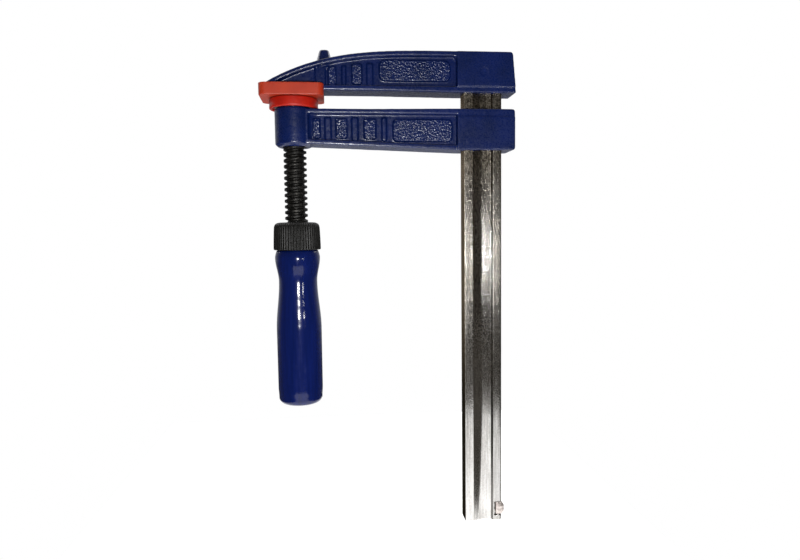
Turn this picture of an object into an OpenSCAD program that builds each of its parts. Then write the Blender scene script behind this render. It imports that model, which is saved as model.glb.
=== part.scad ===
// F clamp: a profiled rail, a fixed jaw at its top end, a sliding jaw and a spindle with a handle.
// Millimetres. X runs from the spindle to the rail, Y through the thickness, Z up along the rail.
// The origin is the centre of the fixed jaw's clamping face, on the spindle's axis.
// It is drawn closed, with the spindle fully retracted.

/* [Rail] */
// Distance from the spindle's axis to the rail
throat = 119.3; // [110:0.1:130]
// Width of the rail, along the jaws
rail_w = 27.5; // [26:0.5:28]
// Thickness of the rail
rail_t = 12; // [11:0.5:13]
// Distance from the clamping face down to the rail's lower end
rail_reach = 309.5; // [200:0.1:600]
// Depth of the groove in each face of the rail
groove_d = 2.3; // [1:0.1:3.5]

/* [Jaws] */
// Thickness of the jaw castings over their flanges
jaw_t = 21; // [20:0.5:24]
// Height of the fixed jaw's top above the clamping face
fixed_top = 32.1; // [28:0.1:36]
// Height of the fixed jaw's underside above the clamping face
fixed_under = 4.6; // [4.2:0.1:6]
// Gap between the two arms when the clamp is closed
arm_gap = 12.5; // [11.5:0.1:16]
// How much closer each arm comes to the other at the rail
arm_swell = 0.7; // [0:0.1:2]
// Height of the sliding jaw beside the boss
slide_h_boss = 23.9; // [20:0.1:26]
// Height of the sliding jaw at the rail
slide_h_head = 28.1; // [24:0.1:32]
// Depth of the pockets in the arms' sides
pocket_d = 4.5; // [2:0.1:5]
// Radius of the boss that holds the spindle
boss_r = 13.4; // [12:0.1:15]

/* [Spindle] */
// Outer radius of the spindle's thread
thread_r = 8; // [7:0.1:8.2]
// Pitch of the thread
pitch = 4; // [3:0.5:5]
// How far the spindle feeds, from fully retracted
feed = 50; // [30:1:60]

/* [Pads] */
// Length of the fixed jaw's cap, along X
cap_l = 43.8; // [42:0.2:46]
// Width of the fixed jaw's cap, along Y
cap_w = 33.8; // [30:0.2:36]
// Height of the fixed jaw's cap
cap_h = 8.1; // [7:0.1:9]
// Outer radius of the pressure pad's cap
pad_r = 16.9; // [16:0.1:18]
// Height of the pressure pad's cap
pad_h = 6.9; // [6.5:0.1:8]

/* [Handle] */
// Height of the ribbed collar
collar_h = 19.3; // [14:0.1:24]
// Radius of the ribbed collar
collar_r = 16.6; // [15:0.1:18]
// Length of the handle below the collar
handle_l = 109.6; // [90:0.2:130]
// Largest radius of the handle
handle_r = 15.9; // [15:0.1:18]

/* [Hidden] */
$fn = 64;

// Rail: its centre, and its section, which looks the same turned half a turn
rail_x = throat + rail_w / 2;
rail_end = -rail_reach;
groove_half = 7.3;
floor_near = 1.5;
floor_far = 6.6;
edge_c = 0.5;

// Heights of the arms
slide_top = fixed_under - arm_gap;
slide_under_boss = slide_top - slide_h_boss;
slide_under_head = slide_top - slide_h_head;
boss_top = -6.6;
boss_bottom = -33.3;

// Heads, the parts of the castings round the rail
head_x0 = 114;
fixed_head_x1 = 156.2;
slide_head_x1 = 155.6;
swell_x = 56;
head_t = jaw_t + 1;
head_lean = 2.2;
flange = 3.3;
band = 4.8;
slot_gap = 0.4;
press_gap = 0.05;

// Crown of the fixed jaw: a curve that falls away towards the nose
nose_x = -19.4;
crown_x = 112;
crown_drop = 23.3;
crown_power = 3.35;
crown_steps = 22;

// Foot of the fixed jaw, inside its cap
cap_x = -0.8;
cap_wall = 2.2;
cap_base = 2.6;
cap_r = 4.5;
foot_gap = 0.1;
foot_top = 7.4;

// Raised panels in the pockets: [x0, x1, bottom, top, how far it stands up, corner radius]
fixed_panels = [
    [15.4, 22.2, 8.4, 20.4, 1.2, 1],
    [24.3, 29.6, 8.6, 20.6, 2.2, 1],
    [33.7, 36.4, 8.6, 21.8, 1.4, 1],
    [40.8, 47.5, 9.2, 22.9, 2.2, 1],
    [51.0, 55.1, 8.6, 23.6, 1.4, 1],
    [59.6, 109.4, 11.8, 25.9, 2.2, 4]
];
slide_panels = [
    [13.2, 17.9, -27.6, -14.4, 2.2, 1],
    [21.4, 25.5, -28.6, -13.4, 1.4, 1],
    [29.1, 36.4, -27.6, -14.4, 2.2, 1],
    [40.0, 44.2, -29.0, -13.4, 1.4, 1],
    [48.5, 56.7, -28.0, -14.4, 2.2, 1],
    [61.0, 64.2, -29.4, -13.4, 1.4, 1],
    [68.8, 110.6, -29.8, -14.6, 2.2, 3]
];

// Stub on the fixed jaw's back
stub_x = 21.8;
stub_top = 33.4;

// Stop lug in the rail's edge
lug_x = [142.6, 148.8];
lug_z = [rail_end + 4.3, rail_end + 13.5];

// Pressure pad and the spindle's ball end
gap = 0.3;
pad_face = -gap;
pad_base = 2.3;
plate_t = 2.8;
ball_z = -7.6;
ball_r = 3.8;
hub_r = 7.4;
hub_bottom = -11.6;
ring_z = [-11.0, -10.0];
ring_r = [3.1, 5.4];
neck_r = 2.5;
thread_top = -15;
root_r = 6.2;

// Spindle, collar and handle below the sliding jaw
collar_top = boss_bottom - feed - 2.2;
collar_bottom = collar_top - collar_h;
handle_top = collar_bottom - 0.2;
handle_bottom = handle_top - handle_l;
shank_r = 7;
tang_r = 5;
tenon_r = 12;
tenon_h = 10;
tang_end = handle_top - 62;

// Stations of the handle: [distance below its top, radius], joined by smooth waves
handle_stations = [
    [0, 14.8], [5, 15.8], [22, 13.5], [56, handle_r], [98, handle_r - 0.1], [105.6, 15.4]
];

function crown(x) = fixed_top
    - crown_drop * pow(max(0, crown_x - x) / (crown_x - nose_x), crown_power);

function crown_points(x0, x1, lower) = [
    for (i = [0 : crown_steps])
        let (x = x0 + (x1 - x0) * i / crown_steps) [x, crown(x) - lower]
];

function arc(centre, r, from, to, steps = 6) = [
    for (i = [0 : steps])
        let (a = from + (to - from) * i / steps) centre + r * [cos(a), sin(a)]
];

// Radius of the handle at a distance t below its top
function wave(a, b, s) = a + (b - a) * (1 - cos(180 * s)) / 2;
function handle_radius(t, i = 0) =
    t <= handle_stations[i + 1][0] || i == len(handle_stations) - 2
        ? wave(
            handle_stations[i][1],
            handle_stations[i + 1][1],
            (t - handle_stations[i][0]) / (handle_stations[i + 1][0] - handle_stations[i][0]))
        : handle_radius(t, i + 1);

// Turns an outline in X and Z into a plate across Y, centred on y
module plate(thick, y = 0) {
    translate([0, y, 0])
        rotate([90, 0, 0])
            linear_extrude(thick, center = true)
                children();
}

module rounded_rect(x0, x1, z0, z1, r) {
    polygon(concat(
        arc([x1 - r, z1 - r], r, 0, 90),
        arc([x0 + r, z1 - r], r, 90, 180),
        arc([x0 + r, z0 + r], r, 180, 270),
        arc([x1 - r, z0 + r], r, 270, 360)));
}

module rail_section(w, t) {
    half_w = w / 2;
    half_t = t / 2;
    side = [
        [-half_w, -half_t + edge_c],
        [-half_w + edge_c, -half_t],
        [-groove_half, -half_t],
        [-floor_near, -half_t + groove_d],
        [floor_far, -half_t + groove_d],
        [groove_half, -half_t],
        [half_w - edge_c, -half_t],
        [half_w, -half_t + edge_c]
    ];
    polygon(concat(side, [for (p = side) -p]));
}

module rail() {
    color("silver")
        difference() {
            translate([rail_x, 0, rail_end])
                linear_extrude(rail_reach + fixed_top - 0.6)
                    rail_section(rail_w, rail_t);
            // Notch for the stop lug, open towards the rail's edge
            translate([lug_x[0] - 0.1, -rail_t, lug_z[0] - 0.1])
                cube([10, 2 * rail_t, lug_z[1] - lug_z[0] + 0.2]);
            translate([rail_x, 0, jaw_pin_z()])
                rotate([90, 0, 0])
                    cylinder(h = 2 * rail_t, r = 3.05, center = true);
        }
}

// A short key in the notch; it stands past the rail's edge and stops the sliding jaw
module stop_lug() {
    edge = rail_x + rail_w / 2;
    color("gainsboro")
        plate(rail_t - 0.4)
            polygon([
                [lug_x[0], lug_z[0]],
                [edge, lug_z[0]],
                [lug_x[1], lug_z[0] + 2.2],
                [lug_x[1], lug_z[1] - 2.2],
                [edge, lug_z[1]],
                [lug_x[0], lug_z[1]]
            ]);
}

function jaw_pin_z() = (fixed_top + fixed_under) / 2;

module fixed_arm_outline() {
    r = 2.2;
    lean_x = fixed_head_x1 - head_lean;
    polygon(concat(
        [
            [head_x0, fixed_under - arm_swell],
            [fixed_head_x1, fixed_under - arm_swell]
        ],
        arc([lean_x - r, fixed_top - r], r, 5, 90),
        crown_points(crown_x, nose_x, 0),
        [[nose_x, fixed_under], [swell_x, fixed_under]]));
}

module fixed_pocket_outline() {
    floor_z = fixed_under + flange;
    polygon(concat(
        [[head_x0, floor_z]],
        arc([head_x0 - 3, fixed_top - flange - 3], 3, 0, 90),
        crown_points(head_x0 - 6, -11, flange),
        [[-11, floor_z]]));
}

// Raised panels on both floors of the pockets
module panels(list) {
    for (side = [-1, 1])
        for (p = list)
            plate(p[4] + 0.5, side * (jaw_t / 2 - pocket_d + p[4] / 2 - 0.25))
                rounded_rect(p[0], p[1], p[2], p[3], p[5]);
}

module fixed_jaw() {
    color("midnightblue")
        difference() {
            union() {
                difference() {
                    plate(jaw_t)
                        fixed_arm_outline();
                    for (side = [-1, 1])
                        plate(2 * pocket_d, side * jaw_t / 2)
                            fixed_pocket_outline();
                }
                // Flat cheeks of the head, down to the band along its lower edge
                plate(head_t)
                    intersection() {
                        fixed_arm_outline();
                        translate([head_x0, fixed_under + flange])
                            square([60, 40]);
                    }
                panels(fixed_panels);
                // Foot that the cap slips over
                translate([cap_x, 0, (cap_base + foot_gap + foot_top) / 2])
                    cube([
                        cap_l - 2 * cap_wall - 2 * foot_gap,
                        cap_w - 2 * cap_wall - 2 * foot_gap,
                        foot_top - cap_base - foot_gap
                    ], center = true);
                translate([stub_x, 0, 20])
                    cylinder(h = stub_top - 20, r1 = 7.2, r2 = 3.3);
            }
            // Slot that the rail is pressed into
            translate([rail_x, 0, fixed_under - 10])
                linear_extrude(80)
                    rail_section(rail_w + 2 * press_gap, rail_t + 2 * press_gap);
            translate([rail_x, 0, jaw_pin_z()])
                rotate([90, 0, 0])
                    cylinder(h = 2 * head_t, r = 3.05, center = true);
        }
}

module jaw_pin() {
    color("midnightblue")
        translate([rail_x, 0, jaw_pin_z()])
            rotate([90, 0, 0])
                cylinder(h = head_t - 0.4, r = 3, center = true);
}

// Tray that slips over the fixed jaw's foot, with a notch for the arm in its inner wall
module fixed_jaw_cap() {
    color("firebrick")
        difference() {
            linear_extrude(cap_h)
                rounded_rect(
                    cap_x - cap_l / 2, cap_x + cap_l / 2, -cap_w / 2, cap_w / 2, cap_r);
            translate([0, 0, cap_base])
                linear_extrude(cap_h)
                    rounded_rect(
                        cap_x - cap_l / 2 + cap_wall, cap_x + cap_l / 2 - cap_wall,
                        -cap_w / 2 + cap_wall, cap_w / 2 - cap_wall, 0.3);
            translate([cap_x, -jaw_t / 2 - 0.2, fixed_under - 0.1])
                cube([cap_l, jaw_t + 0.4, cap_h]);
        }
}

module slide_arm_outline() {
    r = 2;
    head_top = slide_top + arm_swell;
    polygon(concat(
        [[swell_x, slide_top], [head_x0, head_top]],
        arc([slide_head_x1 - r, head_top - r], r, 90, 0),
        arc([slide_head_x1 - r, slide_under_head + r], r, 0, -90),
        [
            [head_x0, slide_under_head],
            [10, slide_under_boss],
            [0, slide_under_boss],
            [0, slide_top]
        ]));
}

// Blend between the boss and the floor of one pocket, seen from above
module boss_blend_outline() {
    floor_y = jaw_t / 2 - pocket_d;
    polygon([
        [6, 0],
        [6, boss_r - 2.6],
        [9.4, boss_r - 4],
        [11.4, floor_y + 1.5],
        [13.4, floor_y + 0.5],
        [15.8, floor_y],
        [15.8, 0]
    ]);
}

module slide_pocket_outline() {
    polygon([
        [10, slide_top - flange],
        [head_x0, slide_top - flange],
        [head_x0, slide_under_head + flange],
        [10, slide_under_boss + flange]
    ]);
}

module sliding_jaw() {
    color("midnightblue")
        difference() {
            union() {
                difference() {
                    plate(jaw_t)
                        slide_arm_outline();
                    for (side = [-1, 1])
                        plate(2 * pocket_d, side * jaw_t / 2)
                            slide_pocket_outline();
                }
                // Flat cheeks of the head, below the band along its upper edge
                plate(head_t)
                    intersection() {
                        slide_arm_outline();
                        translate([head_x0, slide_top - band - 40])
                            square([60, 40]);
                    }
                panels(slide_panels);
                translate([0, 0, boss_bottom])
                    rotate_extrude()
                        boss_profile();
                for (side = [0, 1])
                    mirror([0, side, 0])
                        translate([0, 0, slide_under_boss + flange - 1])
                            linear_extrude(slide_h_boss - 2 * flange + 2)
                                boss_blend_outline();
            }
            // Threaded bore, drawn plain
            translate([0, 0, boss_bottom - 1])
                cylinder(h = 40, r = thread_r + 0.3);
            // Slot that runs on the rail
            translate([rail_x, 0, (slide_top + slide_under_head) / 2])
                cube([rail_w + 2 * slot_gap, rail_t + 2 * slot_gap, 60], center = true);
        }
}

module boss_profile() {
    h = boss_top - boss_bottom;
    polygon([
        [0, 0],
        [boss_r - 2.2, 0],
        [boss_r, 2],
        [boss_r, h - 1.2],
        [boss_r - 1.2, h],
        [0, h]
    ]);
}

// Steel plate with a hub; the spindle's ball end turns in the hub
module pressure_pad() {
    top = pad_face - pad_base - 0.05;
    color("dimgray")
        difference() {
            union() {
                translate([0, 0, top - plate_t])
                    cylinder(h = plate_t, r = pad_r - cap_wall - 0.1);
                translate([0, 0, hub_bottom])
                    cylinder(h = top - hub_bottom, r = hub_r);
            }
            translate([0, 0, ball_z])
                sphere(r = ball_r + 0.1);
            translate([0, 0, hub_bottom - 1])
                cylinder(h = ball_z - hub_bottom + 1, r = ball_r + 0.1);
            translate([0, 0, ring_z[0] - 0.05])
                cylinder(h = ring_z[1] - ring_z[0] + 0.1, r = ring_r[1] + 0.05);
        }
}

module pad_ring() {
    color("gray")
        translate([0, 0, ring_z[0]])
            difference() {
                cylinder(h = ring_z[1] - ring_z[0], r = ring_r[1]);
                translate([0, 0, -1])
                    cylinder(h = 4, r = ring_r[0]);
            }
}

module pressure_pad_cap() {
    color("red")
        difference() {
            translate([0, 0, pad_face - pad_h])
                cylinder(h = pad_h, r = pad_r);
            translate([0, 0, pad_face - pad_h - 1])
                cylinder(h = pad_h - pad_base + 1, r = pad_r - cap_wall);
        }
}

// One ridge of the thread, centred on its own height
module ridge() {
    rotate_extrude()
        polygon([
            [root_r - 1, -1.3],
            [root_r, -1.3],
            [thread_r, -0.6],
            [thread_r, 0.6],
            [root_r, 1.3],
            [root_r - 1, 1.3]
        ]);
}

module spindle() {
    ridges = floor((thread_top - collar_top - 1) / pitch);
    color("black")
        union() {
            translate([0, 0, ball_z])
                sphere(r = ball_r);
            translate([0, 0, thread_top])
                cylinder(h = ball_z - thread_top, r = neck_r);
            translate([0, 0, thread_top - 1])
                cylinder(h = 3.4, r1 = root_r, r2 = neck_r);
            translate([0, 0, collar_top])
                cylinder(h = thread_top - collar_top, r = root_r);
            for (i = [0 : ridges - 1])
                translate([0, 0, thread_top - 2 - i * pitch])
                    ridge();
            translate([0, 0, handle_top - tenon_h])
                cylinder(h = collar_top - handle_top + tenon_h, r = shank_r);
            translate([0, 0, tang_end])
                cylinder(h = handle_top - tenon_h - tang_end, r = tang_r);
        }
}

// Ribbed collar with a socket for the handle's tenon
module grip_collar() {
    color("black")
        translate([0, 0, collar_bottom])
            difference() {
                rotate_extrude()
                    polygon(concat(
                        [[0, 0], [collar_r - 0.2, 0], [collar_r, 0.8]],
                        arc([collar_r - 2, collar_h - 1.6], 1.6, 0, 90),
                        [[0, collar_h]]));
                translate([0, 0, -1])
                    cylinder(h = collar_h + 2, r = shank_r);
                translate([0, 0, -1])
                    cylinder(h = tenon_h + 1, r = tenon_r);
            }
}

module handle() {
    steps = 44;
    wave_l = handle_stations[len(handle_stations) - 1][0];
    end_r = handle_radius(wave_l);
    round_r = handle_l - wave_l;
    color("navy")
        difference() {
            union() {
                rotate_extrude()
                    polygon(concat(
                        [[0, handle_top]],
                        [for (i = [0 : steps])
                            let (t = wave_l * i / steps) [handle_radius(t), handle_top - t]],
                        arc([end_r - round_r, handle_bottom + round_r], round_r, -8, -90),
                        [[0, handle_bottom]]));
                translate([0, 0, handle_top - 1])
                    cylinder(h = tenon_h + 0.9, r = tenon_r - 0.05);
            }
            translate([0, 0, handle_top - tenon_h])
                cylinder(h = 3 * tenon_h, r = shank_r + 0.02);
            translate([0, 0, tang_end - 1])
                cylinder(h = handle_top - tang_end, r = tang_r + 0.02);
        }
}

rail();
stop_lug();
fixed_jaw();
jaw_pin();
fixed_jaw_cap();
sliding_jaw();
pressure_pad();
pad_ring();
pressure_pad_cap();
spindle();
grip_collar();
handle();
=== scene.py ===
"""The looks of an F clamp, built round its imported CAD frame.

Metres, in the CAD's own frame: X runs from the spindle to the rail, Y through the thickness, Z up.
"""
import math

import bmesh
import bpy
import numpy as np
from mathutils import Matrix, Vector, noise


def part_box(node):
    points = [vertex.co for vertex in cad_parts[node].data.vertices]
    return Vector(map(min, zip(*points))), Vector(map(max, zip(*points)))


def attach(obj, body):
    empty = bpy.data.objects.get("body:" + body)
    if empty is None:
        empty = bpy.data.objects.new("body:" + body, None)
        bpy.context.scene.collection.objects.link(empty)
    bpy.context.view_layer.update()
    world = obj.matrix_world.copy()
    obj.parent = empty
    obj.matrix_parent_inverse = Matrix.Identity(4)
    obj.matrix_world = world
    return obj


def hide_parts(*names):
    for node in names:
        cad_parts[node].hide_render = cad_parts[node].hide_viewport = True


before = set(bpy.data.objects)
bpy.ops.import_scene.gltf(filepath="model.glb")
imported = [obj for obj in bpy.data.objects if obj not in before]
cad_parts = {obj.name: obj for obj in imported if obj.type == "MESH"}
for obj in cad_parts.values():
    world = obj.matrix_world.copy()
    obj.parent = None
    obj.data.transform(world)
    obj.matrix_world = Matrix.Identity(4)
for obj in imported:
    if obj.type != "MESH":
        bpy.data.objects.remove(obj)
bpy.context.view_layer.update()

MM = 0.001
TAU = 2 * math.pi

# Places that the CAD model sets and that a node's box doesn't give
GROOVE_HALF = 7.3 * MM
GROOVE_DEPTH = 2.3 * MM
FLOOR_NEAR = 1.5 * MM
FLOOR_FAR = 6.6 * MM
PITCH = 4.0 * MM
CREST_R = 8.0 * MM
ROOT_R = 6.2 * MM
PANEL_Y = 8.2 * MM
RAIL_X = (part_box("rail")[0].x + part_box("rail")[1].x) / 2
RAIL_HALF = (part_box("rail")[1].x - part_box("rail")[0].x) / 2


# ---------------------------------------------------------------- mesh helpers

def as_object(name, mesh):
    """Links a mesh to the scene as a smooth-shaded object."""
    mesh.validate()
    for face in mesh.polygons:
        face.use_smooth = True
    obj = bpy.data.objects.new(name, mesh)
    bpy.context.scene.collection.objects.link(obj)
    return obj


def from_rings(name, rings, closed_ends=True):
    """A tube through rings of equally many points, with flat ends."""
    rings = np.asarray(rings, float)
    count, sides, _ = rings.shape
    faces = []
    for i in range(count - 1):
        a, b = i * sides, (i + 1) * sides
        for j in range(sides):
            k = (j + 1) % sides
            faces.append((a + j, a + k, b + k, b + j))
    if closed_ends:
        faces.append(tuple(reversed(range(sides))))
        faces.append(tuple(range((count - 1) * sides, count * sides)))
    mesh = bpy.data.meshes.new(name)
    mesh.from_pydata([tuple(p) for p in rings.reshape(-1, 3)], [], faces)
    bm = bmesh.new()
    bm.from_mesh(mesh)
    bmesh.ops.recalc_face_normals(bm, faces=bm.faces)
    bm.to_mesh(mesh)
    bm.free()
    return as_object(name, mesh)


def lathe(name, profile, sides=128):
    """Turns a profile of (radius, z) points about the spindle's axis."""
    angles = np.arange(sides) * TAU / sides
    ring = np.stack([np.cos(angles), np.sin(angles), np.zeros(sides)], 1)
    rings = [ring * (max(r, 1e-5), max(r, 1e-5), 0) + (0, 0, z) for r, z in profile]
    return from_rings(name, rings)


def bend(corners, radii, steps=5):
    """Rounds the corners of a closed outline; a radius of 0 keeps a corner sharp."""
    out = []
    count = len(corners)
    for i, (corner, radius) in enumerate(zip(corners, radii)):
        here = Vector(corner)
        back = (Vector(corners[i - 1]) - here).normalized()
        ahead = (Vector(corners[(i + 1) % count]) - here).normalized()
        if radius <= 0:
            out.append(here)
            continue
        half = back.angle(ahead) / 2
        reach = radius / math.tan(half)
        start, end = here + back * reach, here + ahead * reach
        for s in range(steps + 1):
            t = s / steps
            out.append(start * (1 - t) ** 2 + here * 2 * t * (1 - t) + end * t ** 2)
    return out


def applied(obj):
    """Makes an object's modifiers part of its mesh."""
    graph = bpy.context.evaluated_depsgraph_get()
    mesh = bpy.data.meshes.new_from_object(obj.evaluated_get(graph))
    obj.modifiers.clear()
    obj.data = mesh
    for face in mesh.polygons:
        face.use_smooth = True
    return obj


def moulded(name, nodes, voxel, rounds):
    """A cast or moulded body: the CAD nodes' shape with every edge and inside corner softened."""
    bm = bmesh.new()
    for node in nodes:
        bm.from_mesh(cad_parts[node].data)
    mesh = bpy.data.meshes.new(name)
    bm.to_mesh(mesh)
    bm.free()
    obj = as_object(name, mesh)
    remesh = obj.modifiers.new("remesh", "REMESH")
    remesh.mode = "VOXEL"
    remesh.voxel_size = voxel
    soften = obj.modifiers.new("soften", "SMOOTH")
    soften.factor = 0.5
    soften.iterations = rounds
    return applied(obj)


def points_of(mesh):
    co = np.empty(len(mesh.vertices) * 3, np.float32)
    mesh.vertices.foreach_get("co", co)
    return co.reshape(-1, 3).astype(float)


def normals_of(mesh):
    normals = np.empty(len(mesh.vertices) * 3, np.float32)
    mesh.vertices.foreach_get("normal", normals)
    return normals.reshape(-1, 3).astype(float)


def set_points(mesh, co):
    mesh.vertices.foreach_set("co", co.astype(np.float32).ravel())
    mesh.update()


def lumps(co, size, seed):
    """Smooth noise, about -1 to 1, with lumps of the given size."""
    shift = Vector((seed * 7.1, seed * 3.7, seed * 1.3))
    return np.array([noise.noise(Vector(p) / size + shift) for p in co])


# ---------------------------------------------------------------- materials

class Shader:
    """A Principled material and a short way to add nodes to it."""

    def __init__(self, name, **sockets):
        self.material = bpy.data.materials.new(name)
        self.material.use_nodes = True
        self.tree = self.material.node_tree
        self.principled = self.tree.nodes["Principled BSDF"]
        for key, value in sockets.items():
            self.principled.inputs[key.replace("_", " ")].default_value = value

    def node(self, kind, links=None, **settings):
        made = self.tree.nodes.new(kind)
        for key, value in settings.items():
            setattr(made, key, value)
        for key, value in (links or {}).items():
            self.feed(made.inputs[key], value)
        return made

    def feed(self, socket, value):
        if isinstance(value, bpy.types.NodeSocket):
            self.tree.links.new(value, socket)
        else:
            socket.default_value = value

    def place(self, stretch=(1, 1, 1)):
        """Object coordinates, stretched."""
        coordinates = self.node("ShaderNodeTexCoord").outputs["Object"]
        return self.node("ShaderNodeMapping", {"Vector": coordinates, "Scale": stretch}).outputs[0]

    def noise(self, scale, detail=3.0, rough=0.5, stretch=(1, 1, 1)):
        return self.node("ShaderNodeTexNoise", {
            "Vector": self.place(stretch),
            "Scale": scale,
            "Detail": detail,
            "Roughness": rough,
        }).outputs[0]

    def grey(self, value, low, high, start=0.3, end=0.7):
        """Maps a texture to a number between low and high."""
        made = self.node("ShaderNodeMapRange", {
            "Value": value,
            "From Min": start,
            "From Max": end,
            "To Min": low,
            "To Max": high,
        })
        return made.outputs[0]

    def mix(self, factor, a, b):
        made = self.node("ShaderNodeMix", data_type="RGBA")
        self.feed(made.inputs[0], factor)
        self.feed(made.inputs[6], a)
        self.feed(made.inputs[7], b)
        return made.outputs[2]

    def math(self, operation, a, b=0.0):
        return self.node("ShaderNodeMath", {0: a, 1: b}, operation=operation).outputs[0]

    def times(self, a, b):
        return self.math("MULTIPLY", a, b)

    def near(self, value, centre, full, gone):
        """1 within a distance of a centre, falling to 0 further out."""
        distance = self.math("ABSOLUTE", self.math("SUBTRACT", value, centre))
        return self.grey(distance, 1, 0, full, gone)

    def bump(self, height, strength, distance, normal=None):
        links = {"Height": height, "Strength": strength, "Distance": distance}
        if normal is not None:
            links["Normal"] = normal
        return self.node("ShaderNodeBump", links).outputs[0]

    def set(self, **sockets):
        for key, value in sockets.items():
            self.feed(self.principled.inputs[key.replace("_", " ")], value)


def rgb(r, g, b):
    """A colour from sRGB values of 0 to 255."""
    def linear(v):
        v /= 255
        return v / 12.92 if v <= 0.04045 else ((v + 0.055) / 1.055) ** 2.4
    return (linear(r), linear(g), linear(b), 1)


def casting_paint():
    """Thick gloss enamel over a sand casting, with a painted highlight of lighter blue on its convex
    edges.
    """
    s = Shader("casting_paint", Coat_Weight=0.15, Coat_Roughness=0.12, IOR=1.45)
    patches = s.noise(60, 4)
    grain = s.noise(900, 4, 0.65)
    peel = s.noise(420, 2)
    colour = s.mix(s.grey(patches, 0, 1), rgb(3, 22, 68), rgb(8, 28, 84))
    # Painted highlight: convex edges, found by pointiness, are mixed towards a lighter blue.
    edges = s.node("ShaderNodeNewGeometry").outputs["Pointiness"]
    wear_and_edge_highlight = s.grey(edges, 0, 0.35, 0.53, 0.62)
    colour = s.mix(wear_and_edge_highlight, colour, rgb(34, 50, 118))
    s.set(Base_Color=colour, Roughness=s.grey(grain, 0.2, 0.4))
    depth = s.math("ABSOLUTE", s.node("ShaderNodeSeparateXYZ", {0: s.place()}).outputs["Y"])
    on_panel = s.near(depth, PANEL_Y, 0.0004, 0.0009)
    stipple = s.noise(1500, 2, 0.5)
    fine = s.bump(grain, 0.35, 0.0002, s.bump(stipple, s.times(on_panel, 0.35), 0.0005))
    s.set(Normal=s.bump(peel, 0.3, 0.0004, fine))
    return s.material


def plated_steel():
    """Drawn and plated bar: fine streaks along it, a warm tarnish that grows towards the jaws, painted
    shade on its narrow sides, in the foot of the steep groove wall low down and along the far corner of
    each land.
    """
    s = Shader("plated_steel", Metallic=1.0)
    streaks = s.noise(1100, 6, 0.6, (1, 1, 0.05))
    scratches = s.noise(3000, 3, 0.7, (1, 1, 0.02))
    mottle = s.noise(650, 6, 0.8, (1, 1, 0.8))
    specks = s.noise(900, 2, 0.6)
    stains = s.noise(45, 5, 0.6, (1, 1, 0.5))

    # Where on the bar: from its middle, the same seen from either face, and along it
    split = s.node("ShaderNodeSeparateXYZ", {0: s.place()})
    along = split.outputs["Z"]
    from_middle = s.math("SUBTRACT", split.outputs["X"], RAIL_X)
    facing = s.times(from_middle, s.math("SIGN", s.times(split.outputs["Y"], -1.0)))
    across = s.math("ABSOLUTE", from_middle)
    edge = s.grey(across, 0, 1, RAIL_HALF - 0.0005, RAIL_HALF - 0.0003)
    on_land = s.grey(across, 0.35, 1, GROOVE_HALF - 0.001, GROOVE_HALF + 0.0003)
    steep_land = s.grey(facing, 0, 0.3, GROOVE_HALF - 0.0001, GROOVE_HALF + 0.0002)
    # Painted shade: a dark strip along the far corner of each land, and in the foot of the steep groove
    # wall low on the bar.
    far_corner_shade = s.grey(facing, 0, 0.85, RAIL_HALF - 0.0011, RAIL_HALF - 0.0007)
    groove_foot = s.near(facing, FLOOR_FAR + 0.0003, 0.0003, 0.0008)
    near_jaws = s.grey(along, 0, 1, -0.115, -0.04)
    handled = s.times(s.grey(along, 0, 1, -0.215, -0.14), on_land)
    tarnish = s.math("MAXIMUM", near_jaws, s.times(handled, 0.6))
    pitting = s.grey(along, 0.05, 1, -0.24, -0.13)
    dirt = s.times(s.grey(specks, 0, 0.85, 0.46, 0.58), s.grey(along, 0.1, 1, -0.24, -0.14))
    groove_and_corner_shade = s.math("MAXIMUM", s.times(groove_foot, s.grey(along, 0.8, 0, -0.23, -0.19)), far_corner_shade)

    bright = s.mix(s.grey(stains, 0, 1, 0.42, 0.62), rgb(240, 239, 237), rgb(210, 207, 203))
    bright = s.mix(s.grey(streaks, 0, 0.6), bright, rgb(150, 146, 140))
    brown = s.mix(s.grey(mottle, 0, 1, 0.38, 0.62), rgb(80, 72, 58), rgb(190, 180, 162))
    colour = s.mix(s.times(tarnish, 0.9), bright, brown)
    colour = s.mix(dirt, colour, rgb(52, 46, 38))
    colour = s.mix(steep_land, colour, rgb(120, 118, 114))
    # Painted shade in the groove foot and along the far land corners.
    colour = s.mix(groove_and_corner_shade, colour, rgb(58, 55, 50))
    # Painted shade: the narrow sides are coloured dark and given a dark specular tint, so they stay dark
    # at grazing angles.
    colour = s.mix(edge, colour, s.mix(tarnish, rgb(66, 61, 52), rgb(150, 138, 120)))
    tint = s.mix(edge, (1, 1, 1, 1), rgb(60, 56, 50))
    wear_and_edge_highlight = s.math("ADD", s.times(tarnish, 0.16), s.grey(streaks, 0.08, 0.17))
    s.set(Base_Color=colour, Specular_Tint=tint, Roughness=s.math("ADD", s.times(edge, 0.35), wear_and_edge_highlight))

    rough = s.bump(mottle, s.times(pitting, 0.42), 0.0002, s.bump(streaks, 0.12, 0.0002))
    rough = s.bump(specks, s.times(pitting, 0.3), 0.0001, rough)
    s.set(Normal=s.bump(scratches, 0.12, 0.0001, rough))
    return s.material


def bright_steel():
    s = Shader("bright_steel", Metallic=1.0)
    marks = s.noise(1800, 4, 0.6, (1, 1, 0.3))
    colour = s.mix(s.grey(marks, 0, 1), rgb(232, 222, 216), rgb(180, 170, 165))
    s.set(Base_Color=colour, Roughness=s.grey(marks, 0.25, 0.5))
    s.set(Normal=s.bump(marks, 0.3, 0.0002))
    return s.material


def pressed_steel():
    s = Shader("pressed_steel", Metallic=1.0)
    marks = s.noise(700, 5, 0.6)
    colour = s.mix(s.grey(marks, 0, 1), rgb(150, 150, 152), rgb(105, 104, 104))
    s.set(Base_Color=colour, Roughness=s.grey(marks, 0.3, 0.5))
    s.set(Normal=s.bump(marks, 0.2, 0.0002))
    return s.material


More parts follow.
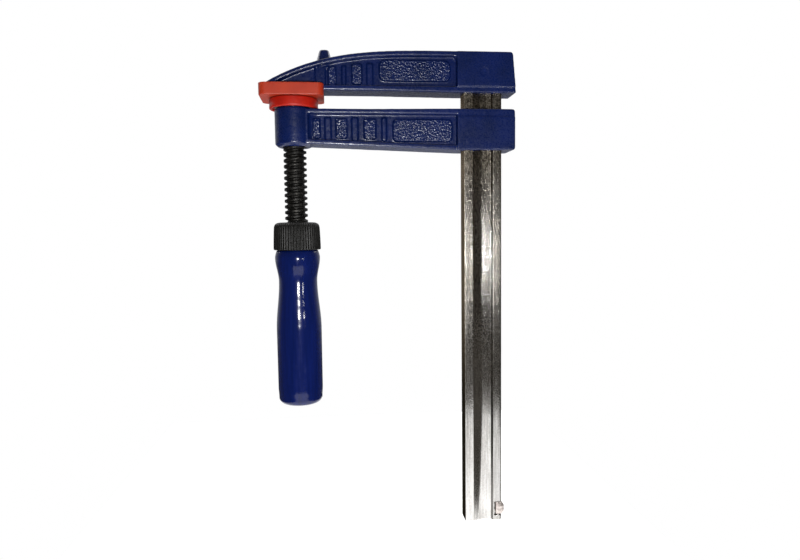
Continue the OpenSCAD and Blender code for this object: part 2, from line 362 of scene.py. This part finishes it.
def red_plastic(name, light, dark):
    """Soft moulded cap plastic with a fine spark-eroded grain and scuffs."""
    s = Shader(name, Subsurface_Weight=0.08, Subsurface_Scale=0.002, IOR=1.46)
    grain = s.noise(2400, 2)
    clouds = s.noise(110, 4)
    scuffs = s.noise(420, 5, 0.7, (1, 1, 3))
    colour = s.mix(s.grey(clouds, 0, 1), light, dark)
    s.set(Base_Color=colour, Roughness=s.grey(scuffs, 0.34, 0.56))
    s.set(Normal=s.bump(scuffs, 0.12, 0.0002, s.bump(grain, 0.2, 0.0001)))
    return s.material


def black_oxide():
    """Rolled thread, blackened and oiled."""
    s = Shader("black_oxide", Metallic=0.75)
    rub = s.noise(700, 5, 0.6)
    oil = s.noise(160, 3)
    colour = s.mix(s.grey(rub, 0, 1, 0.45, 0.8), rgb(24, 24, 23), rgb(74, 72, 68))
    s.set(Base_Color=colour, Roughness=s.grey(oil, 0.38, 0.55))
    s.set(Normal=s.bump(rub, 0.25, 0.0002))
    return s.material


def black_plastic():
    s = Shader("black_plastic", IOR=1.4)
    grain = s.noise(2600, 2)
    dust = s.noise(500, 5, 0.7)
    colour = s.mix(s.grey(dust, 0, 1, 0.45, 0.75), rgb(9, 9, 8), rgb(28, 27, 25))
    s.set(Base_Color=colour, Roughness=s.grey(dust, 0.38, 0.6))
    s.set(Normal=s.bump(grain, 0.25, 0.0001))
    return s.material


def blue_lacquer():
    """Thick gloss lacquer over turned wood, with the grain showing faintly along its length."""
    s = Shader("blue_lacquer", Coat_Weight=0.18, Coat_Roughness=0.04, IOR=1.45)
    grain = s.noise(420, 5, 0.6, (1, 1, 0.06))
    runs = s.noise(120, 1, 0.5, (0.3, 0.3, 1))
    colour = s.mix(s.grey(grain, 0, 1), rgb(3, 18, 70), rgb(7, 24, 86))
    s.set(Base_Color=colour, Roughness=s.grey(grain, 0.1, 0.18))
    s.set(Normal=s.bump(runs, 0.3, 0.0012, s.bump(grain, 0.08, 0.0003)))
    return s.material


def paint_over(obj, material):
    obj.data.materials.clear()
    obj.data.materials.append(material)


# ---------------------------------------------------------------- pieces

def place(obj, body, slot, material, *nodes):
    """Gives a piece its material, its body and the CAD nodes that it stands for."""
    paint_over(obj, material)
    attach(obj, body)
    if nodes:
        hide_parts(*nodes)
    return obj


def roughened(obj, seed):
    """Cast skin: a slight unevenness all over, and coarse stipple on the raised panels."""
    mesh = obj.data
    co, normal = points_of(mesh), normals_of(mesh)
    skin = lumps(co, 3.2 * MM, seed) * 0.06 * MM
    panel = np.clip(1 - np.abs(np.abs(co[:, 1]) - PANEL_Y) / (0.35 * MM), 0, 1)
    panel *= np.clip(np.abs(normal[:, 1]) * 4 - 3, 0, 1)
    panel *= (co[:, 0] > 0) & (co[:, 0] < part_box("rail")[0].x)
    chosen = np.nonzero(panel > 0)[0]
    stipple = np.zeros(len(co))
    stipple[chosen] = lumps(co[chosen], 0.9 * MM, seed + 5) * panel[chosen] * 0.45 * MM
    set_points(mesh, co + normal * (skin + stipple)[:, None])


def build_jaws(paint):
    fixed = moulded("fixed_jaw_casting", ["fixed_jaw", "jaw_pin"], 0.34 * MM, 20)
    roughened(fixed, 1)
    place(fixed, "frame", "blue_paint", paint, "fixed_jaw")
    sliding = moulded("sliding_jaw_casting", ["sliding_jaw"], 0.34 * MM, 20)
    roughened(sliding, 2)
    place(sliding, "sliding_jaw", "blue_paint", paint, "sliding_jaw")
    paint_over(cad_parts["jaw_pin"], paint)


def notch_rings():
    """The staked recess round the lug, a little ragged where the punch has spread the metal."""
    low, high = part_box("stop_lug")
    rings = []
    for y, spread in ((-12, 0.5), (-6.4, 0.5), (-5.2, 0.15), (5.2, 0.15), (6.4, 0.5), (12, 0.5)):
        ring = []
        for step in range(32):
            a = TAU * step / 32
            reach = spread + 0.22 * math.sin(3 * a + y) + 0.12 * math.sin(7 * a)
            x = low.x if math.cos(a) < 0 else high.x + 3 * MM
            z = low.z if math.sin(a) < 0 else high.z
            square = min(1 / max(abs(math.cos(a)), 1e-6), 1 / max(abs(math.sin(a)), 1e-6))
            centre_x, centre_z = (low.x + high.x + 3 * MM) / 2, (low.z + high.z) / 2
            half_x, half_z = abs(x - centre_x) + reach * MM, abs(z - centre_z) + reach * MM
            ring.append((
                centre_x + half_x * math.cos(a) * square,
                y * MM,
                centre_z + half_z * math.sin(a) * square,
            ))
        rings.append(ring)
    return rings


def build_rail(steel):
    """The drawn bar: rounded lands, a groove in each face and fine teeth on both narrow edges."""
    low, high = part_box("rail")
    half_w, half_t = (high.x - low.x) / 2, (high.y - low.y) / 2
    centre = (low + high) / 2
    side = [
        (-half_w, -half_t),
        (-GROOVE_HALF, -half_t),
        (-FLOOR_NEAR, -half_t + GROOVE_DEPTH),
        (FLOOR_FAR, -half_t + GROOVE_DEPTH),
        (GROOVE_HALF, -half_t),
        (half_w, -half_t),
    ]
    radii = [0.5 * MM, 0.8 * MM, 11 * MM, 0.4 * MM, 0.6 * MM, 0.5 * MM]
    section = bend(side + [(-x, -y) for x, y in side], radii * 2, 4)
    section = np.array([tuple(p) for p in section])
    edge = np.clip((np.abs(section[:, 0]) - half_w + 0.3 * MM) / (0.3 * MM), 0, 1)
    tooth = 1.3 * MM
    count = int((high.z - low.z) / (tooth / 2))
    rings = []
    for i in range(count + 1):
        z = low.z + (high.z - low.z) * i / count
        bite = 0.22 * MM * (i % 2)
        chamfer = 0.35 * MM if i in (0, count) else 0
        ring = section.copy()
        ring[:, 0] -= np.sign(ring[:, 0]) * (edge * bite + chamfer)
        ring[:, 1] -= np.sign(ring[:, 1]) * chamfer
        rings.append(np.c_[ring[:, 0] + centre.x, ring[:, 1], np.full(len(ring), z)])
    bar = from_rings("rail_bar", rings)
    notch = from_rings("notch", notch_rings())
    cut = bar.modifiers.new("notch", "BOOLEAN")
    cut.operation = "DIFFERENCE"
    cut.object = notch
    applied(bar)
    bpy.data.objects.remove(notch)
    place(bar, "frame", "rail_steel", steel, "rail")


def build_spindle(oxide):
    """A right-hand trapezoidal thread, with its ball end, neck and the shank inside the handle."""
    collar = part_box("grip_collar")[1].z
    low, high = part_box("spindle")
    thread_top = -15 * MM
    thread_end = collar - 4 * MM
    sides = 64
    step = PITCH / 18
    count = int((thread_top + 3 * MM - thread_end) / step)
    rings = []
    angles = np.arange(sides) * TAU / sides
    for i in range(count + 1):
        z = thread_end + i * step
        phase = ((z / PITCH - angles / TAU - 0.36) % 1.0)
        from_crest = np.abs(phase - 0.5) * 2
        height = np.clip((0.76 - from_crest) / 0.42, 0, 1)
        height = height * height * (3 - 2 * height)
        radius = ROOT_R + (CREST_R - ROOT_R) * height
        limit = 3.2 * MM + max(0, thread_top + 2.4 * MM - z) * 1.5
        radius = np.minimum(radius, limit)
        rings.append(np.c_[np.cos(angles) * radius, np.sin(angles) * radius, np.full(sides, z)])
    ring = np.stack([np.cos(angles), np.sin(angles), np.zeros(sides)], 1)
    shank = [(5, low.z / MM), (5, low.z / MM + 40), (ROOT_R / MM, thread_end / MM - 0.1)]
    lower = [ring * (r * MM, r * MM, 0) + (0, 0, z * MM) for r, z in shank]
    ball_r, ball_z = 3.8, high.z / MM - 3.8
    upper = [ring * (2.5 * MM, 2.5 * MM, 0) + (0, 0, thread_top + 3.2 * MM)]
    for k in range(12):
        a = math.radians(-48 + k * 138 / 11.5)
        r, z = ball_r * math.cos(a), ball_z + ball_r * math.sin(a)
        upper.append(ring * (max(r, 0.02) * MM, max(r, 0.02) * MM, 0) + (0, 0, z * MM))
    screw = from_rings("spindle_screw", lower + rings + upper)
    place(screw, "spindle", "black_oxide", oxide, "spindle")


def build_collar(plastic):
    """Moulded collar with rounded ribs that die out at the rims."""
    low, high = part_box("grip_collar")
    ribs, per_rib = 54, 8
    angles = np.arange(ribs * per_rib) * TAU / (ribs * per_rib)
    rib = 0.5 + 0.5 * np.cos(angles * ribs)
    full = high.x
    height = high.z - low.z
    bore = 7.05 * MM
    socket = 12.0 * MM
    outside = [
        (0.0, full - 0.9 * MM, 0), (0.25, full - 0.25 * MM, 0.3), (0.8, full, 1),
        (3.0, full - 0.05 * MM, 1), (8.0, full - 0.2 * MM, 1), (13.0, full - 0.4 * MM, 1),
        (16.0, full - 0.6 * MM, 1), (17.3, full - 0.95 * MM, 1), (18.2, full - 1.6 * MM, 0.8),
        (18.8, full - 2.5 * MM, 0.4), (19.15, full - 3.6 * MM, 0.1), (19.3, full - 4.8 * MM, 0),
    ]
    rings = []
    for up, radius, amount in outside:
        r = radius - 0.5 * MM * (1 - rib) * amount
        z = low.z + min(up * MM, height)
        rings.append(np.c_[np.cos(angles) * r, np.sin(angles) * r, np.full(len(r), z)])
    inside = [(height, bore), (10 * MM, bore), (10 * MM, socket), (0, socket)]
    for up, radius in inside:
        rings.append(np.c_[
            np.cos(angles) * radius, np.sin(angles) * radius, np.full(len(angles), low.z + up)])
    collar = from_rings("ribbed_collar", rings + rings[:1], closed_ends=False)
    bm = bmesh.new()
    bm.from_mesh(collar.data)
    bmesh.ops.remove_doubles(bm, verts=bm.verts, dist=1e-6)
    bmesh.ops.recalc_face_normals(bm, faces=bm.faces)
    bm.to_mesh(collar.data)
    bm.free()
    place(collar, "spindle", "black_plastic", plastic, "grip_collar")


def wave(stations, t):
    """Joins (distance, radius) stations with half cosine waves."""
    for (t0, r0), (t1, r1) in zip(stations, stations[1:]):
        if t <= t1:
            return r0 + (r1 - r0) * (1 - math.cos(math.pi * (t - t0) / (t1 - t0))) / 2
    return stations[-1][1]


def build_handle(lacquer):
    """Turned handle: a bulge under the collar, a waist, a full belly and a rounded end."""
    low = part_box("handle")[0]
    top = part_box("grip_collar")[0].z - 0.2 * MM
    length = top - low.z
    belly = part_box("handle")[1].x
    stations = [
        (0, 14.8 * MM), (5 * MM, 15.8 * MM), (22 * MM, 13.5 * MM), (56 * MM, belly),
        (98 * MM, belly - 0.1 * MM), (length - 4 * MM, 15.4 * MM),
    ]
    profile = [(11.9 * MM, top + 8 * MM), (11.9 * MM, top), (13.6 * MM, top), (14.5 * MM, top - 0.2 * MM)]
    steps = 72
    straight = length - 4 * MM
    for i in range(1, steps + 1):
        t = straight * i / steps
        profile.append((wave(stations, t), top - t))
    round_r = 4 * MM
    end_r = stations[-1][1]
    for i in range(1, 11):
        a = math.pi / 2 * i / 10
        profile.append((end_r - round_r + round_r * math.cos(a), low.z + round_r - round_r * math.sin(a)))
    profile.append((end_r * 0.35, low.z))
    obj = lathe("turned_handle", profile, 120)
    place(obj, "spindle", "blue_lacquer", lacquer, "handle")


def build_caps(jaw_red, pad_red):
    tray = moulded("jaw_cap_tray", ["fixed_jaw_cap"], 0.3 * MM, 4)
    place(tray, "frame", "jaw_cap_red", jaw_red, "fixed_jaw_cap")
    low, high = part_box("pressure_pad_cap")
    r, top, bottom = high.x / MM, high.z / MM, low.z / MM
    wall, base = 2.2, 2.3
    profile = [
        (0.01, top), (r - 1.6, top), (r - 0.9, top - 0.12), (r - 0.3, top - 0.5), (r - 0.08, top - 1.1),
        (r - 0.1, bottom + 2.2), (r, bottom + 1.5), (r, bottom + 0.7), (r - 0.2, bottom + 0.2),
        (r - 0.7, bottom), (r - wall + 0.4, bottom), (r - wall, bottom + 0.4),
        (r - wall, top - base - 0.2), (r - wall - 0.3, top - base), (0.01, top - base),
    ]
    cup = lathe("pad_cap_cup", [(a * MM, b * MM) for a, b in profile], 144)
    place(cup, "pad", "pad_cap_red", pad_red, "pressure_pad_cap")


def build_lug(steel):
    """The staked lug: a bright square in a dent, bulging past the rail's edge."""
    lug = moulded("staked_lug", ["stop_lug"], 0.25 * MM, 4)
    low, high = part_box("stop_lug")
    co = points_of(lug.data)
    across = (co - np.array((low + high) / 2)) / (np.array(high - low) / 2)
    dome = np.clip(1.1 - across[:, 0] ** 2, 0, 1) * np.clip(1.1 - across[:, 2] ** 2, 0, 1)
    dents = lumps(co, 1.6 * MM, 9)
    co[:, 1] += np.sign(across[:, 1]) * (np.abs(across[:, 1]) > 0.9) * (dome * 0.5 + dents * 0.15) * MM
    set_points(lug.data, co)
    place(lug, "frame", "lug_steel", steel, "stop_lug")


def finish_small_parts(steel):
    for node in ("pressure_pad", "pad_ring"):
        paint_over(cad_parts[node], steel)


# ---------------------------------------------------------------- camera, floor and light

def build_camera():
    """At the height of the collar, a little right of the spindle, looking slightly down and right."""
    data = bpy.data.cameras.new("camera")
    data.sensor_width = 36
    data.lens = 27.9
    camera = bpy.data.objects.new("camera", data)
    yaw, pitch, roll = math.radians(6.01), math.radians(4.53), math.radians(-0.71)
    forward = Vector((math.sin(yaw) * math.cos(pitch), math.cos(yaw) * math.cos(pitch), -math.sin(pitch)))
    right = Vector((math.cos(yaw), -math.sin(yaw), 0))
    up = right.cross(forward)
    right, up = (
        right * math.cos(roll) + up * math.sin(roll),
        up * math.cos(roll) - right * math.sin(roll),
    )
    turn = Matrix((right, up, -forward)).transposed().to_4x4()
    camera.matrix_world = Matrix.Translation((0.02607, -0.44635, -0.09233)) @ turn
    bpy.context.scene.collection.objects.link(camera)
    bpy.context.scene.camera = camera


def build_floor():
    """A white table well below the clamp, so that the sliding jaw has room to open.

    It ends a little beyond the clamp, so bright steel mirrors the dim room past its edges.
    """
    height = -0.47
    low, high = (-0.3, -0.82), (0.42, 0.8)
    mesh = bpy.data.meshes.new("floor")
    corners = [(low[0], low[1]), (high[0], low[1]), (high[0], high[1]), (low[0], high[1])]
    mesh.from_pydata([(x, y, height) for x, y in corners], [], [(0, 1, 2, 3)])
    floor = bpy.data.objects.new("floor", mesh)
    bpy.context.scene.collection.objects.link(floor)
    s = Shader("floor_paper", Roughness=0.9, Emission_Strength=0.75)
    s.set(Base_Color=s.mix(s.noise(3, 3), rgb(252, 252, 252), rgb(248, 248, 248)))
    s.set(Emission_Color=(1, 1, 1, 1))
    paint_over(floor, s.material)


def area_light(name, place_at, aim, size, power, colour=(1, 1, 1), shape="RECTANGLE"):
    data = bpy.data.lights.new(name, "AREA")
    data.shape = shape
    data.size, data.size_y = size
    data.energy = power
    data.color = colour
    light = bpy.data.objects.new(name, data)
    light.location = place_at
    light.rotation_euler = (Vector(aim) - Vector(place_at)).to_track_quat("-Z", "Y").to_euler()
    bpy.context.scene.collection.objects.link(light)


def build_world():
    """A white backdrop to look at; a dim, slightly warm room in front and a brighter one behind."""
    world = bpy.data.worlds.new("studio")
    world.use_nodes = True
    tree = world.node_tree

    def add(kind, links, **settings):
        made = tree.nodes.new(kind)
        for key, value in settings.items():
            setattr(made, key, value)
        for key, value in links.items():
            if isinstance(value, bpy.types.NodeSocket):
                tree.links.new(value, made.inputs[key])
            else:
                made.inputs[key].default_value = value
        return made

    def mix(factor, a, b):
        return add("ShaderNodeMix", {0: factor, 6: a, 7: b}, data_type="RGBA").outputs[2]

    def step(value, start, end):
        links = {"Value": value, "From Min": start, "From Max": end}
        return add("ShaderNodeMapRange", links, interpolation_type="SMOOTHSTEP").outputs[0]

    split = add("ShaderNodeSeparateXYZ", {0: tree.nodes.new("ShaderNodeTexCoord").outputs["Generated"]})
    behind = step(split.outputs["Y"], 0.0, 0.9)
    above = step(split.outputs["Z"], -0.23, -0.08)
    back = mix(above, (0.08, 0.08, 0.08, 1), (0.45, 0.46, 0.48, 1))
    room = mix(behind, (0.07, 0.063, 0.055, 1), back)
    camera_ray = tree.nodes.new("ShaderNodeLightPath").outputs["Is Camera Ray"]
    seen = mix(camera_ray, room, (1, 1, 1, 1))
    tree.links.new(seen, tree.nodes["Background"].inputs["Color"])
    bpy.context.scene.world = world


def build_light():
    scene = bpy.context.scene
    scene.view_settings.view_transform = "Standard"
    build_world()
    centre = (0.05, 0, -0.11)
    area_light("flash", (0.03, -0.47, -0.13), centre, (0.026, 0.026), 1.7, shape="DISK")
    area_light("lamp", (0.266, -0.47, -0.129), centre, (0.022, 0.03), 0.12)
    area_light("ceiling", (0.1, 0.2, 1.3), centre, (1.4, 1.4), 11)
    area_light("left", (-1.1, 0.9, 0.9), centre, (0.8, 0.8), 7)
    area_light("right", (1.2, 0.9, 0.9), centre, (0.8, 0.8), 7)


paint = casting_paint()
build_camera()
build_jaws(paint)
build_rail(plated_steel())
build_lug(bright_steel())
build_spindle(black_oxide())
build_collar(black_plastic())
build_handle(blue_lacquer())
build_caps(
    red_plastic("jaw_cap_plastic", rgb(180, 54, 24), rgb(168, 45, 18)),
    red_plastic("pad_cap_plastic", rgb(184, 29, 10), rgb(164, 21, 8)),
)
finish_small_parts(pressed_steel())
build_floor()
build_light()
